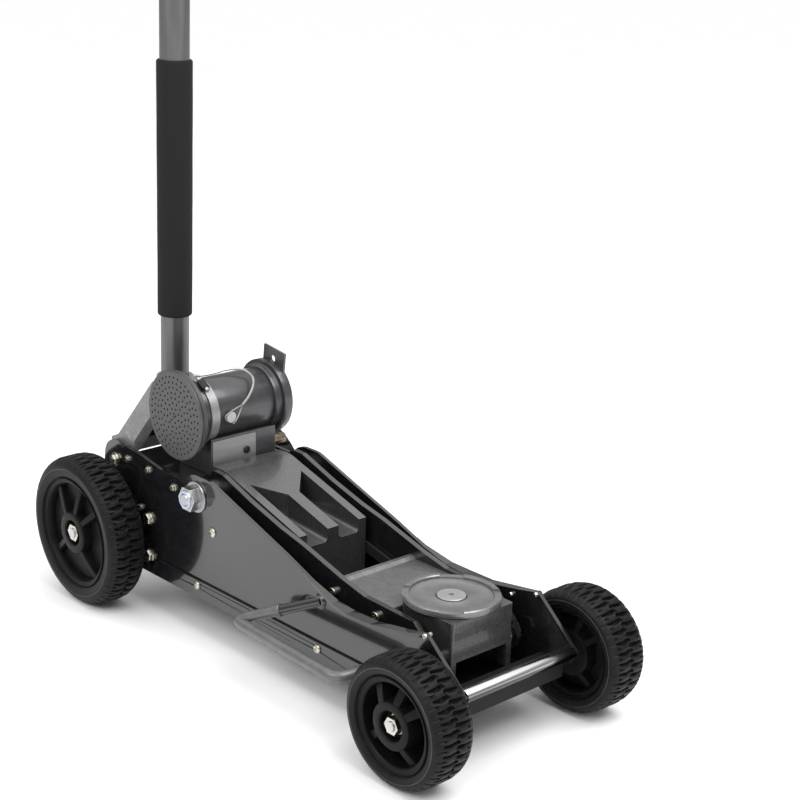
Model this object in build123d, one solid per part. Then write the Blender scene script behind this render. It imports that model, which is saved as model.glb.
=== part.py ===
from build123d import *
import os
from math import cos, radians, sin

# Hydraulic trolley jack with a stamped two-plate frame, four big wheels and an air motor.
# Millimetres. +X points to the saddle end, +Z up, Y across. z = 0 is the ground, and the
# origin is midway between the rearmost and foremost points of the tyres.
# Side-view points are (x ahead of the rear axle, z above the ground).

# ---- driving dimensions ----
REAR_TYRE_R = 127.0
FRONT_TYRE_R = 93.5
WHEELBASE = 776.0
TYRE_WIDTH = 70.0
TRACK_OUT = 207.0            # outer face of every tyre
PLATE_OUT = 112.7            # outer face of a frame side plate
PLATE_T = 6.0
ARM_OUT = 85.0               # outer face of a lift arm plate
ARM_T = 9.0
MAIN_PIVOT = (228.0, 235.0)
SADDLE_PIVOT = (714.0, 124.0)
YOKE_PIVOT = (-1.0, 237.0)
RAM_Z = 158.0
LIFT_DEG = 50.0
CRANK_R = 80.0               # main pivot to the pull link pins
ROD_OFFSET = (5.0, -27.0)    # levelling rod pins from the arm's own pivots
RUN = 0.05                   # radial clearance of a running fit

REAR_X = -(WHEELBASE + FRONT_TYRE_R - REAR_TYRE_R) / 2
PLATE_IN = PLATE_OUT - PLATE_T
ARM_IN = ARM_OUT - ARM_T
WHEEL_IN = TRACK_OUT - TYRE_WIDTH
MAIN_SHAFT_R = 14.0
REAR_AXLE_R = 12.5
FRONT_AXLE_R = 10.0
HUB_SEAT = TRACK_OUT - 16      # where each axle steps down to its threaded stub
YOKE_BOLT_R = 8.0
FRAME_BOTTOM = 68.0

CRANK_DEG = LIFT_DEG / 2     # the crank swings evenly either side of straight down
CRANK_PIN = (MAIN_PIVOT[0] - CRANK_R * sin(radians(CRANK_DEG)),
             MAIN_PIVOT[1] - CRANK_R * cos(radians(CRANK_DEG)))
CRANK_PIN_R = 9.0
CROSSHEAD = (325.0, RAM_Z)
CROSSHEAD_PIN_R = 7.0
ROD_REAR = (MAIN_PIVOT[0] + ROD_OFFSET[0], MAIN_PIVOT[1] + ROD_OFFSET[1])
ROD_FRONT = (SADDLE_PIVOT[0] + ROD_OFFSET[0], SADDLE_PIVOT[1] + ROD_OFFSET[1])
ROD_PIN_R = 6.0

MOTOR = (158.0, 348.0)       # axis of the air motor, which lies across the jack
MOTOR_R = 50.0
PISTON_R = 44.0

HANDLE_TILT = 2.4            # degrees forward of upright
HANDLE_FOOT = (14.0, 300.0)
HANDLE_R = 23.6
HANDLE_LENGTH = 880.0
SLEEVE_SPAN = (170.0, 573.0)
GRIP_SPAN = (745.0, 880.0)

SADDLE_X = 678.0
SADDLE_R = 70.0
BLOCK_TOP = 184.0


# ---- helpers ----
def slab(points, y0, y1):
    """A side-view polygon, given depth from y0 to y1."""
    face = make_face(Polyline(*[(REAR_X + x, z) for x, z in points], close=True))
    return Pos(0, y1, 0) * extrude(Plane.XZ * face, amount=y1 - y0)


def across(point, r, y0, y1):
    """A round bar along Y."""
    x, z = point
    return Pos(REAR_X + x, (y0 + y1) / 2, z) * Rot(90, 0, 0) * Cylinder(r, y1 - y0)


def along(x0, x1, y, z, r):
    """A round bar along X."""
    return Pos(REAR_X + (x0 + x1) / 2, y, z) * Rot(0, 90, 0) * Cylinder(r, x1 - x0)


def block(x0, x1, y0, y1, z0, z1):
    centre = Pos(REAR_X + (x0 + x1) / 2, (y0 + y1) / 2, (z0 + z1) / 2)
    return centre * Box(x1 - x0, y1 - y0, z1 - z0)


def ring(point, r_in, r_out, y0, y1):
    return across(point, r_out, y0, y1) - across(point, r_in, y0, y1)


def hexagon(point, across_flats, y0, y1):
    x, z = point
    face = RegularPolygon(across_flats / 2, 6, major_radius=False)
    return Pos(REAR_X + x, y1, z) * extrude(Plane.XZ * face, amount=y1 - y0)


def far_side(shape):
    return mirror(shape, about=Plane.XZ)


def both_sides(shapes):
    solids = []
    for shape in shapes:
        solids += [shape, far_side(shape)]
    return Compound(children=solids)


def link_shape(start, end, r, y0, y1):
    """A flat bar with round ends between two side-view points."""
    dx, dz = end[0] - start[0], end[1] - start[1]
    length = (dx * dx + dz * dz) ** 0.5
    nx, nz = -dz / length * r, dx / length * r
    corners = [(start[0] + nx, start[1] + nz), (end[0] + nx, end[1] + nz),
               (end[0] - nx, end[1] - nz), (start[0] - nx, start[1] - nz)]
    return slab(corners, y0, y1) + across(start, r, y0, y1) + across(end, r, y0, y1)


# ---- frame ----
PLATE_TOP = [(30, 268), (74, 263), (130, 253), (201, 251), (212, 264), (228, 270),
             (250, 270), (263, 269), (358, 237), (449, 207), (508, 185), (560, 171),
             (595, 168), (644, 169), (704, 179), (744, 187)]
PLATE_REST = [(820, 121), (818, 112), (806, 96), (748, FRAME_BOTTOM), (20, FRAME_BOTTOM),
              (-26, 96), (-35, 130), (-35, 236)]
# the top edge turns outward ahead of the arm: (x, z, how far out)
LIP = [(490, 192, 0.6), (508, 185, 1.5), (560, 171, 8), (595, 168, 12), (644, 169, 10),
       (704, 179, 7), (744, 187, 2)]
LIP_T = 5.0
TALLEST_CUT = 300.0          # height of cutters that pass right through from the ground
PIVOT_BOSS_R = 33.0
MAIN_BOSS_R = 35.0
MOUNT_BOLTS = [(94, 159), (93, 94)]
SMALL_BOLTS = [(37, 247), (96, 244), (166, 233), (70, 172)]
BUTTON_BOLTS = [(268, 187)]
SKID_BOLTS = [(230, 86), (526, 85)]
TIE_ROD = (812.0, 119.0)
TIE_ROD_R = 9.0


def flared_lip():
    """The turned-out top edge: a side-view strip, cut to its outline seen from above."""
    strip = [(x, z) for x, z, _ in LIP] + [(x, z - LIP_T) for x, z, _ in reversed(LIP)]
    rim = [(REAR_X + x, -PLATE_OUT - out) for x, _, out in LIP]
    root = [(REAR_X + LIP[-1][0], -PLATE_OUT), (REAR_X + LIP[0][0], -PLATE_OUT)]
    plan = extrude(make_face(Polyline(*rim, *root, close=True)), amount=TALLEST_CUT)
    return slab(strip, -PLATE_OUT - max(out for _, _, out in LIP), -PLATE_OUT) & plan


def side_plate():
    lo, hi = -PLATE_OUT, -PLATE_IN
    outline = PLATE_TOP + PLATE_REST
    plate = slab(outline, lo, hi) + across(YOKE_PIVOT, PIVOT_BOSS_R, lo, hi)
    plate += across(MAIN_PIVOT, MAIN_BOSS_R, lo, hi)
    plate += flared_lip()
    for point, r in [(YOKE_PIVOT, YOKE_BOLT_R), (MAIN_PIVOT, MAIN_SHAFT_R),
                     ((0, REAR_TYRE_R), REAR_AXLE_R), ((WHEELBASE, FRONT_TYRE_R), FRONT_AXLE_R),
                     (TIE_ROD, 6.0)]:
        plate -= across(point, r, lo - 1, hi + 1)
    return plate


def skid_plate():
    """Folded belly plate whose flanges lap the foot of both side plates."""
    t = 4.0
    profile = [(46, FRAME_BOTTOM), (46, 80), (108, 80), (120, 95), (700, 95), (716, 84),
               (716, FRAME_BOTTOM)]
    flange = slab(profile, -PLATE_OUT - t, -PLATE_OUT)
    floor = block(46, 716, -PLATE_OUT - t, PLATE_OUT + t, FRAME_BOTTOM - t, FRAME_BOTTOM)
    ramp_line = [(690, FRAME_BOTTOM - t), (716, FRAME_BOTTOM - t), (757, 84), (757, 88),
                 (712, FRAME_BOTTOM), (690, FRAME_BOTTOM)]
    ramp = slab(ramp_line, -PLATE_IN + 1, PLATE_IN - 1)
    return floor + ramp + flange + far_side(flange)


def front_axle_beam():
    beam = block(757, 799, -PLATE_IN, PLATE_IN, 76, 100)
    return beam - across((WHEELBASE, FRONT_TYRE_R), FRONT_AXLE_R, -PLATE_OUT, PLATE_OUT)


def front_tie_rod():
    bar = across(TIE_ROD, TIE_ROD_R, -PLATE_IN, PLATE_IN)
    return bar + across(TIE_ROD, 6.0, -PLATE_OUT, PLATE_OUT)


def axle(point, r, stub_r):
    """A plain axle with a threaded stub beyond each hub."""
    bar = across(point, r, -HUB_SEAT, HUB_SEAT)
    return bar + across(point, stub_r, -TRACK_OUT + 1, TRACK_OUT - 1)


def axle_nuts():
    nuts = []
    for point, stub_r, flats in [((0, REAR_TYRE_R), 8.0, 27), ((WHEELBASE, FRONT_TYRE_R), 7.0, 23)]:
        nut = hexagon(point, flats, -TRACK_OUT + 3, -HUB_SEAT)
        washer = ring(point, stub_r, flats / 2 + 3, -HUB_SEAT - 2, -HUB_SEAT)
        nuts.append(nut + washer - across(point, stub_r, -TRACK_OUT, -HUB_SEAT))
    return both_sides(nuts)


def main_shaft():
    bar = across(MAIN_PIVOT, MAIN_SHAFT_R, -PLATE_OUT - 4, PLATE_OUT + 4)
    return bar + across(MAIN_PIVOT, 10, -PLATE_OUT - 22, PLATE_OUT + 22)


def main_shaft_nuts():
    washer = ring(MAIN_PIVOT, MAIN_SHAFT_R, 25, -PLATE_OUT - 4, -PLATE_OUT)
    nut = hexagon(MAIN_PIVOT, 36, -PLATE_OUT - 21, -PLATE_OUT - 4)
    collar = across(MAIN_PIVOT, 15, -PLATE_OUT - 24, -PLATE_OUT - 21)
    return both_sides([washer, nut + collar - across(MAIN_PIVOT, 10, -PLATE_OUT - 24, -PLATE_OUT)])


def main_shaft_spacers():
    return both_sides([ring(MAIN_PIVOT, MAIN_SHAFT_R, 20, -PLATE_IN, -ARM_OUT - 0.3)])


def hex_bolt(point, flats, head, shank_r, length, stand=0.0):
    face = -PLATE_OUT - stand
    shape = hexagon(point, flats, face - head, face)
    washer = across(point, flats / 2 + 2.5, face - 1.5, face)
    return shape + washer + across(point, shank_r, face, face + length)


def button_bolt(point, r, shank_r, length, stand=0.0):
    face = -PLATE_OUT - stand
    head = across(point, r, face - 3, face) + across(point, r * 0.7, face - 4.5, face - 3)
    head -= hexagon(point, r * 0.7, face - 4.5, face - 2.5)
    return head + across(point, shank_r, face, face + length)


def frame_hex_bolts():
    bolts = [hex_bolt(point, 17, 8, 5, 24) for point in MOUNT_BOLTS]
    bolts += [hex_bolt(point, 10, 5, 3, 10) for point in SMALL_BOLTS]
    return both_sides(bolts)


def button_bolts():
    bolts = [button_bolt(point, 8, 4, 10) for point in BUTTON_BOLTS]
    bolts += [button_bolt(point, 7, 3, 10, stand=4.0) for point in SKID_BOLTS]
    return both_sides(bolts)


def top_bracket():
    """Cross channel under the air motor, bolted between the side plates."""
    top = block(84, 190, -PLATE_IN, PLATE_IN, 244, 250)
    top += block(22, 84, -EAR_IN + 2, EAR_IN - 2, 244, 250)
    flange = block(84, 182, -PLATE_IN, -PLATE_IN + 5, 222, 244)
    return top + flange + far_side(flange)


# ---- hydraulic power unit ----
PUMP_Z = 206.0
PLUNGER_R = 9.0
UNIT_REAR, UNIT_FRONT = 48.0, 118.0
RELEASE = (38.0, 150.0)      # y and z of the release valve
RAM_BORE_R = 22.5


def power_block():
    body = block(UNIT_REAR, UNIT_FRONT, -60, 60, 84, 232)
    lug = block(80, 108, -PLATE_IN, -60, 84, 175)
    body += lug + far_side(lug)
    body -= along(UNIT_REAR, 112, 0, PUMP_Z, PLUNGER_R + RUN)
    body -= along(UNIT_REAR, 82, RELEASE[0], RELEASE[1], 6 + RUN)
    return fillet(body.edges().filter_by(Axis.X).group_by(Axis.Z)[-1], 5)


def reservoir():
    tank = along(UNIT_FRONT, 300, 0, RAM_Z, 45) - along(UNIT_FRONT, 294, 0, RAM_Z, 41)
    return tank - along(UNIT_FRONT, 301, 0, RAM_Z, 30)


def ram_cylinder():
    tube = along(UNIT_FRONT, 305, 0, RAM_Z, 30)
    tube -= along(UNIT_FRONT, 292, 0, RAM_Z, RAM_BORE_R + RUN)
    return tube - along(291, 306, 0, RAM_Z, 18 + RUN)


def ram_piston():
    piston = along(150, 166, 0, RAM_Z, RAM_BORE_R)
    return piston + along(166, CROSSHEAD[0] + 13, 0, RAM_Z, 18)


def ram_crosshead():
    x = CROSSHEAD[0]
    head = block(x - 13, x + 13, -47, 47, RAM_Z - 20, RAM_Z + 20)
    head = fillet(head.edges().filter_by(Axis.Y), 6) - along(x - 14, x + 14, 0, RAM_Z, 18)
    pin = across(CROSSHEAD, CROSSHEAD_PIN_R, -59, -47)
    return head + pin + far_side(pin)


def pump_piston():
    return along(-2, 66, 0, PUMP_Z, PLUNGER_R) + along(-6.5, -2, 0, PUMP_Z, 13)


def release_valve():
    stem = along(22, 76, RELEASE[0], RELEASE[1], 6)
    knob = along(22, 30, RELEASE[0], RELEASE[1], 10)
    slot = block(21, 25, RELEASE[0] - 12, RELEASE[0] + 12, RELEASE[1] - 1.5, RELEASE[1] + 1.5)
    return stem + knob - slot


# ---- ram cover ----
COVER_HALF = 67.0
COVER_WALL = 6.0
COVER_FRONT = 424.0
COVER_TOP = [(206, 264), (214, 271), (236, 271), (COVER_FRONT, 216)]


def ram_cover():
    """Slotted casting over the ram, open below."""
    nose = (COVER_FRONT, 127)
    outline = COVER_TOP + [nose, (COVER_FRONT - 8, 127), (COVER_FRONT - 8, 180), (206, 180)]
    cover = slab(outline, -COVER_HALF, COVER_HALF)
    roof = 27.0
    cavity = [(200, 244), (236, 271 - roof), (COVER_FRONT - 8, 218 - roof),
              (COVER_FRONT - 8, 170), (200, 170)]
    cover -= slab(cavity, -COVER_HALF + COVER_WALL, COVER_HALF - COVER_WALL)
    cover -= across(MAIN_PIVOT, MAIN_SHAFT_R + 2, -COVER_HALF, COVER_HALF)
    groove = Polyline((285, -52), (330, -11), (440, -11), (440, -52), close=True)
    cutter = Pos(REAR_X, 0, 0) * extrude(make_face(groove), amount=300)
    slope = [(200, 264), (236, 253), (COVER_FRONT + 20, 192), (COVER_FRONT + 20, 300), (200, 300)]
    cutter = cutter & slab(slope, -60, 60)
    cover -= cutter
    cover -= far_side(cutter)
    return cover - across(ROD_REAR, ROD_PIN_R, -COVER_HALF, COVER_HALF)


def rod_anchor_pins():
    wall_in = -COVER_HALF + COVER_WALL
    head = across(ROD_REAR, 9, wall_in, wall_in + 3)
    return both_sides([across(ROD_REAR, ROD_PIN_R, -75.4, wall_in) + head])


# ---- air motor ----
BASE_FACE = 200.0
AIR_PORT = (188.0, 281.0)
AIR_PORT_R = 5.6             # tapping radius of a quarter-inch pipe thread


def motor_base():
    base = block(112, BASE_FACE, -62, 68, 250, 310)
    base -= across(MOTOR, MOTOR_R, -48, 69)
    return base - across(MOTOR, MOTOR_R + 3.2, -63, -48)


def motor_cylinder():
    tube = across(MOTOR, MOTOR_R, -88, 73)
    return tube - across(MOTOR, PISTON_R + RUN, -84, 73)


def motor_intake_cap():
    """Perforated disc that closes the near end, with a raised rim."""
    cap = across(MOTOR, 72, -102, -88) - across(MOTOR, 67, -102.1, -99)
    for r, count in [(18, 8), (34, 14), (50, 20)]:
        for hole in PolarLocations(r, count):
            x, z = MOTOR[0] + hole.position.X, MOTOR[1] + hole.position.Y
            cap -= across((x, z), 2.2, -99.1, -94)
    return cap


def motor_end_flange():
    """Far end cap with a hanging tab on top."""
    flange = across(MOTOR, 61, 73, 89)
    tab = slab([(147, 396), (151, 433), (203, 425), (198, 386)], 84, 88)
    return flange + tab - across((173, 412), 6, 83, 89.5)


def motor_clamp_band():
    band = ring(MOTOR, MOTOR_R, MOTOR_R + 3, -76, -51)
    screw = block(138, 156, -70, -58, 396, 408)
    return band + (screw - across(MOTOR, MOTOR_R, -76, -51))


def motor_piston():
    piston = across(MOTOR, PISTON_R, -60, -42)
    return piston + across(MOTOR, 8, -42, 40)


def air_fittings():
    """Brass inlet union and plug on the far face of the motor base."""
    union = hexagon(AIR_PORT, 19, 68, 78) + across(AIR_PORT, 8.5, 78, 94)
    union -= across(AIR_PORT, AIR_PORT_R, 80, 95)
    plug = hexagon((160, 276), 13, 68, 75)
    return Compound(children=[union, plug])


def lanyard():
    """Retaining pin disc and the wire that ties it to the motor."""
    x, y, z = MOTOR[0] + MOTOR_R + 3, -24.0, 341.0
    disc = Pos(REAR_X + x, y, z) * Rot(0, 90, 0) * Cylinder(9, 4)
    high = MOTOR[1] + MOTOR_R
    path = FilletPolyline((REAR_X + x, y, z + 7), (REAR_X + x + 4, y + 12, z + 38),
                          (REAR_X + MOTOR[0] + 36, 22, high + 4),
                          (REAR_X + MOTOR[0] + 4, -32, high + 4), radius=8)
    wire = sweep(Plane(origin=path @ 0, z_dir=path % 0) * Circle(1.4), path=path)
    return disc + wire


# ---- carry handles ----
HANDLE_ROD_R = 8.0
CARRY_PATH = [(527, -PLATE_OUT, 160), (398, -170, 101), (640, -180, 101), (648, -PLATE_OUT, 104)]


def carry_path(points, bend):
    return FilletPolyline(*[(REAR_X + x, y, z) for x, y, z in points], radius=bend)


def carry_rod():
    path = carry_path(CARRY_PATH, 18)
    return sweep(Plane(origin=path @ 0, z_dir=path % 0) * Circle(HANDLE_ROD_R), path=path)


def carry_handles():
    near = carry_rod() & block(300, 700, -TRACK_OUT, -PLATE_OUT, 60, 250)
    return both_sides([near])


def carry_sleeves():
    """Moulded sleeves over the rear leg of each carry handle."""
    start, corner = Vector(*CARRY_PATH[0]), Vector(*CARRY_PATH[1])
    leg = corner - start
    line = [start + leg * 0.10, start + leg * 0.50]
    axis = Line(*[(REAR_X + p.X, p.Y, p.Z) for p in line])
    plane = Plane(origin=axis @ 0, z_dir=axis % 0)
    sleeve = extrude(plane * (Circle(10) - Circle(HANDLE_ROD_R)), amount=axis.length)
    return both_sides([sleeve & block(300, 700, -TRACK_OUT, -PLATE_OUT - 6, 60, 250)])


# ---- lift arm ----
ARM_OUTLINE = [(204, 252), (214, 262), (236, 274), (258, 273), (330, 248), (400, 228),
               (450, 217), (540, 192), (590, 181), (690, 178), (726, 146), (738, 124),
               (732, 106), (712, 99), (560, 124), (420, 156), (300, 190), (248, 196),
               (214, 158), (204, 148), (186, 146), (177, 158), (182, 180), (194, 214)]
DECK_BOLTS = [(526, 167), (618, 161)]
BUSH_R = 18.0


def arm_plate():
    plate = slab(ARM_OUTLINE, -ARM_OUT, -ARM_IN)
    plate -= across(MAIN_PIVOT, BUSH_R, -ARM_OUT, -ARM_IN)
    plate -= across(SADDLE_PIVOT, 10, -ARM_OUT, -ARM_IN)
    for point in DECK_BOLTS:
        plate -= across(point, 4, -ARM_OUT, -ARM_IN)
    return plate + across(CRANK_PIN, CRANK_PIN_R, -ARM_IN, -48)


def arm_bushes():
    return both_sides([ring(MAIN_PIVOT, MAIN_SHAFT_R + RUN, BUSH_R, -ARM_OUT, -ARM_IN)])


def arm_deck():
    """Cross plate bolted between the arm plates, with a turned-up rear lip."""
    half = ARM_IN - 0.1
    top = slab([(514, 176), (524, 177), (636, 176), (636, 171), (524, 172), (514, 171)], -half, half)
    lip = slab([(514, 175), (514, 181), (521, 181), (527, 177)], -half, half)
    flange = slab([(516, 173), (636, 173), (636, 152), (516, 156)], -half, -half + 6)
    for point in DECK_BOLTS:
        flange -= across(point, 4, -half, -half + 6)
    return top + lip + flange + far_side(flange)


def arm_deck_bolts():
    bolts = []
    for point in DECK_BOLTS:
        head = across(point, 7.5, -ARM_OUT - 6, -ARM_OUT)
        head -= hexagon(point, 6, -ARM_OUT - 6, -ARM_OUT - 2)
        bolts.append(head + across(point, 4, -ARM_OUT, -ARM_IN + 6))
    return both_sides(bolts)


def saddle_pin():
    bar = across(SADDLE_PIVOT, 10, -ARM_OUT - 2, ARM_OUT + 2)
    head = hexagon(SADDLE_PIVOT, 24, -ARM_OUT - 10, -ARM_OUT - 2)
    return bar + head + far_side(head)


def pull_links():
    """Bars from the ram crosshead back to the arm cranks, slotted at the crosshead."""
    y0, y1 = -57, -49
    high = (CROSSHEAD[0], CROSSHEAD[1] + 8)
    link = link_shape(CRANK_PIN, CROSSHEAD, 15, y0, y1) + link_shape(CROSSHEAD, high, 16, y0, y1)
    link -= link_shape(CROSSHEAD, high, CROSSHEAD_PIN_R + 0.8, y0 - 1, y1 + 1)
    return both_sides([link - across(CRANK_PIN, CRANK_PIN_R + RUN, y0 - 1, y1 + 1)])


def levelling_rods():
    y0, y1 = -74.5, -69
    rod = link_shape(ROD_REAR, ROD_FRONT, 8, y0, y1) + across(ROD_REAR, 10, y0, y1)
    rod += across(ROD_FRONT, 10, y0, y1)
    rod -= across(ROD_REAR, ROD_PIN_R + RUN, y0 - 1, y1 + 1)
    return both_sides([rod - across(ROD_FRONT, ROD_PIN_R + 1, y0 - 1, y1 + 1)])


# ---- saddle ----
BLOCK_HALF = 60.0


def saddle_block():
    """Carrier that stays level: a top block with two ears for its pins."""
    x0, x1 = 640, 741
    body = block(x0, x1, -BLOCK_HALF, BLOCK_HALF, 124, BLOCK_TOP)
    body = fillet(body.edges().filter_by(Axis.Z), 4)
    ear_points = [(694, 130), (x1, 130), (x1, 88), (728, 88), (722, 106), (696, 106)]
    ear = slab(ear_points, -BLOCK_HALF, -50)
    body += ear + far_side(ear)
    body -= across(SADDLE_PIVOT, 10 + RUN, -BLOCK_HALF - 1, BLOCK_HALF + 1)
    body -= Pos(REAR_X + SADDLE_X, 0, 165) * Cylinder(15 + RUN, 60)
    pin = across(ROD_FRONT, ROD_PIN_R, -75.4, -BLOCK_HALF)
    return body + pin + far_side(pin)


def saddle():
    """Round pad with a raised notched ring, on a stem that turns in the block."""
    rim = Pos(REAR_X + SADDLE_X, 0, 0)
    pad = rim * Pos(0, 0, BLOCK_TOP + 5.7) * Cylinder(SADDLE_R, 11)
    pad = fillet(pad.edges().group_by(Axis.Z)[-1], 2)
    pad -= rim * Pos(0, 0, BLOCK_TOP + 12) * Cylinder(60, 10)
    for turn in range(45, 360, 90):
        pad -= rim * Rot(0, 0, turn) * Pos(SADDLE_R - 5, 0, BLOCK_TOP + 12) * Box(16, 16, 6)
    stem = rim * Pos(0, 0, BLOCK_TOP - 18) * Cylinder(15, 37)
    return pad + stem - rim * Pos(0, 0, BLOCK_TOP + 7) * Cylinder(21, 4)


def saddle_cap():
    return Pos(REAR_X + SADDLE_X, 0, BLOCK_TOP + 7.5) * Cylinder(21, 4)


# ---- handle ----
ROLLER = (-19.0, 206.0)
EAR_IN, EAR_OUT = 92.0, 102.0
HANDLE_PLANE = Pos(REAR_X + HANDLE_FOOT[0], 0, HANDLE_FOOT[1]) * Rot(0, HANDLE_TILT, 0)


def handle_bar(r, start, end):
    """A round bar on the handle's own axis, from its foot."""
    return HANDLE_PLANE * Pos(0, 0, (start + end) / 2) * Cylinder(r, end - start)


def handle_yoke():
    """Fork that straddles the frame and carries the handle socket."""
    ear = slab([(-28, 268), (-28, 206), (-20, 196), (0, 196), (34, 226), (34, 272), (12, 286)],
               -EAR_OUT, -EAR_IN)
    leg_points = [(-EAR_OUT, 256), (-EAR_OUT, 276), (-30, 354), (-24, 354), (-24, 334), (-EAR_IN, 258)]
    leg = extrude(Plane.YZ * make_face(Polyline(*leg_points, close=True)), amount=48)
    leg = Pos(REAR_X - 8, 0, 0) * leg
    web = block(-14, -6, -EAR_IN, EAR_IN, 240, 262)
    gusset = Polyline((-64, 260), (64, 260), (26, 330), (-26, 330), close=True)
    web += Pos(REAR_X - 8, 0, 0) * extrude(Plane.YZ * make_face(gusset), amount=4)
    bar = across(ROLLER, 9, -EAR_IN, -24)
    fork = ear + leg + bar + far_side(ear + leg + bar) + web
    fork += across(ROLLER, 6, -24, 24)
    fork += handle_bar(31, 22, 66)
    fork -= handle_bar(HANDLE_R + RUN, -30, 80)
    return fork - across(YOKE_PIVOT, YOKE_BOLT_R + RUN, -EAR_OUT - 1, EAR_OUT + 1)


def pump_roller():
    return ring(ROLLER, 6 + RUN, 11, -20, 20)


def yoke_pivot_bolts():
    head = hexagon(YOKE_PIVOT, 24, -PLATE_OUT - 11, -PLATE_OUT - 2)
    washer = across(YOKE_PIVOT, 15, -PLATE_OUT - 2, -PLATE_OUT)
    bolt = head + washer + across(YOKE_PIVOT, YOKE_BOLT_R, -PLATE_OUT, -EAR_IN)
    return both_sides([bolt + across(YOKE_PIVOT, 13, -PLATE_IN, -EAR_OUT - 0.3)])


def handle_tube():
    return handle_bar(HANDLE_R, 0, HANDLE_LENGTH) - handle_bar(HANDLE_R - 3, -1, HANDLE_LENGTH - 4)


def handle_sleeve():
    sleeve = handle_bar(28.5, *SLEEVE_SPAN)
    sleeve = fillet(sleeve.edges(), 3)
    return sleeve - handle_bar(HANDLE_R, 100, 700)


def handle_grip():
    grip = handle_bar(27, GRIP_SPAN[0], GRIP_SPAN[1] + 4)
    grip = fillet(grip.edges(), 4)
    return grip - handle_bar(HANDLE_R, GRIP_SPAN[0] - 10, GRIP_SPAN[1])


# ---- wheels ----
def wheel_centre(rear):
    return (0, REAR_TYRE_R) if rear else (WHEELBASE, FRONT_TYRE_R)


def bush_radius(rear):
    return 17.0 if rear else 14.0


def wheel_bushes():
    bushes = []
    for rear, axle_r in [(True, REAR_AXLE_R), (False, FRONT_AXLE_R)]:
        span = (-HUB_SEAT, -WHEEL_IN - 4)
        bushes.append(ring(wheel_centre(rear), axle_r, bush_radius(rear), *span))
    return both_sides(bushes)


SPOKE_TURNS = (40, 78, 127, 218, 307)
BEAD_SHARE = 0.74            # shares of the tyre's radius
RECESS_R = 21.0


def wheel_rim(rear):
    """Moulded wheel: hub, spokes and a dished ring."""
    centre = wheel_centre(rear)
    tyre_r = REAR_TYRE_R if rear else FRONT_TYRE_R
    bead, ring_in = tyre_r * BEAD_SHARE, tyre_r * (0.66 if rear else 0.63)
    hub = tyre_r * (0.28 if rear else 0.37)
    lo, hi = -TRACK_OUT + 5, -WHEEL_IN - 6
    middle = (lo + hi) / 2
    rim = ring(centre, ring_in, bead, lo, hi) + across(centre, hub, lo, hi)
    rim += ring(centre, hub - 1, ring_in + 1, middle - 6 if rear else middle + 4, middle + 9)
    spoke_length = ring_in - hub + 4
    for turn in SPOKE_TURNS:
        spoke = Pos((hub + ring_in) / 2, 0, 0) * Box(spoke_length, 10, 40)
        place = Pos(REAR_X + centre[0], middle, centre[1]) * Rot(90, 0, 0) * Rot(0, 0, turn)
        rim += place * spoke
    rim -= across(centre, bush_radius(rear) + RUN, lo - 1, hi + 1)
    return rim - across(centre, RECESS_R, lo - 1, -HUB_SEAT)


def tyre(rear):
    """Plain tyre body with rounded shoulders."""
    centre = wheel_centre(rear)
    outer = REAR_TYRE_R if rear else FRONT_TYRE_R
    body = across(centre, outer, -TRACK_OUT, -WHEEL_IN)
    body = fillet(body.edges(), 16)
    return body - across(centre, outer * BEAD_SHARE, -TRACK_OUT - 1, -WHEEL_IN + 1)


# ---- springs ----
SPRING_Y, SPRING_Z, SPRING_R = 39.0, 103.0, 7.0


def return_springs():
    """Envelopes of the two extension springs under the ram, and their front hooks."""
    end = CROSSHEAD[0] - 4
    coil = along(UNIT_FRONT, end, -SPRING_Y, SPRING_Z, SPRING_R)
    coil -= along(UNIT_FRONT, end, -SPRING_Y, SPRING_Z, SPRING_R - 2.4)
    hook = block(end - 3, end, -SPRING_Y - 2, -SPRING_Y + 2, SPRING_Z + 5, RAM_Z - 20)
    return both_sides([coil + hook])


def mirrored_pair(name, shape):
    return {name + "_right": shape, name + "_left": far_side(shape)}


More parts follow.
